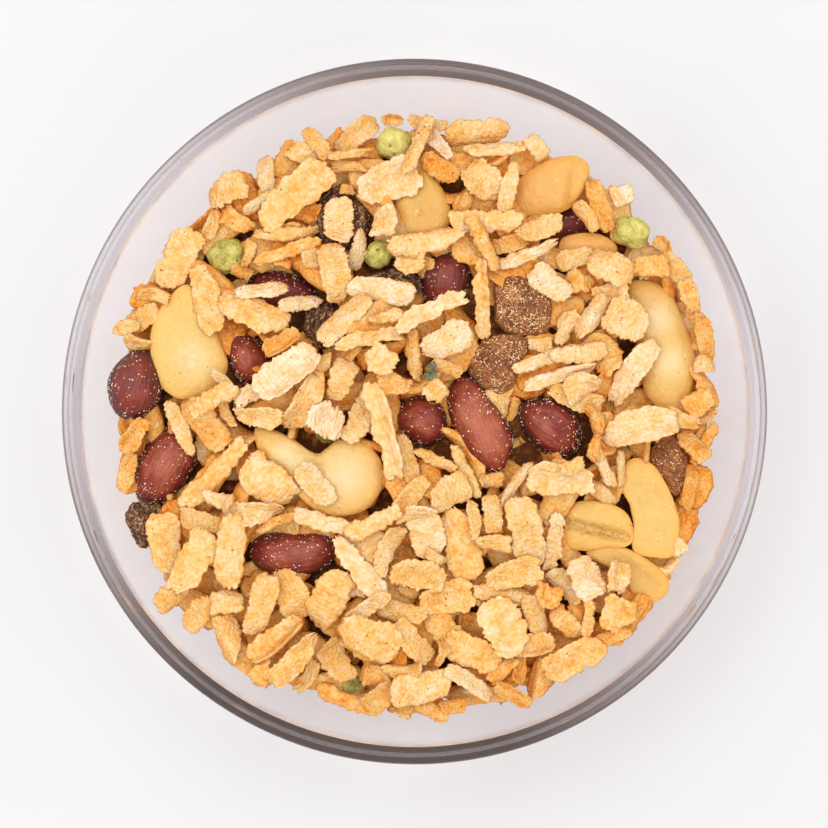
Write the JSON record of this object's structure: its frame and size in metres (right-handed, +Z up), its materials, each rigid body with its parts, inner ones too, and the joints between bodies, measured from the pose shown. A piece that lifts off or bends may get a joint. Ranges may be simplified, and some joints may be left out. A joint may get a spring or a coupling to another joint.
{
  "type": "bowl of snack mix",
  "caption": "Clear glass bowl on a low foot, heaped with toasted rice flakes, skin-on peanuts, cashew halves, raisins and puffed green peas.",
  "frame": {"origin": "middle of the bowl's foot, on the table", "axes": "+Z up through the middle of the bowl, +X to the right and +Y to the top of the picture seen from above"},
  "size_m": [0.11, 0.11, 0.052],
  "materials": {
    "glass": "clear and polished",
    "rice_flake": "toasted, pebbly and dry",
    "peanut_skin": "red-brown skin with a soft sheen",
    "cashew": "smooth and pale golden",
    "golden_raisin": "lumpy, dusted with fine crystals",
    "dark_raisin": "wrinkled, with a low gloss",
    "puffed_pea": "rough and puffed"
  },
  "bodies": {
    "root": {"bowl": "glass", "flake_heap": "rice_flake", "peanut_left": "peanut_skin", "peanut_lower_left": "peanut_skin", "peanut_low": "peanut_skin", "peanut_upper_left": "peanut_skin", "peanut_mid_left": "peanut_skin", "peanut_centre": "peanut_skin", "peanut_long": "peanut_skin", "peanut_right": "peanut_skin", "peanut_top": "peanut_skin", "peanut_deep": "peanut_skin", "cashew_left": "cashew", "cashew_top": "cashew", "cashew_upper_right": "cashew", "cashew_right": "cashew", "cashew_lower_right": "cashew", "cashew_inner": "cashew", "cashew_low": "cashew", "cashew_centre": "cashew", "cashew_shaded": "cashew", "raisin_golden_upper": "golden_raisin", "raisin_golden_lower": "golden_raisin", "raisin_right": "golden_raisin", "raisin_dark_left": "dark_raisin", "raisin_dark_top": "dark_raisin", "raisin_dark_mid": "dark_raisin", "raisin_upper": "dark_raisin", "pea_top": "puffed_pea", "pea_left": "puffed_pea", "pea_middle": "puffed_pea", "pea_right": "puffed_pea", "pea_low": "puffed_pea", "pea_by_cashew": "puffed_pea", "pea_by_peanut": "puffed_pea"}
  },
  "joints": []
}
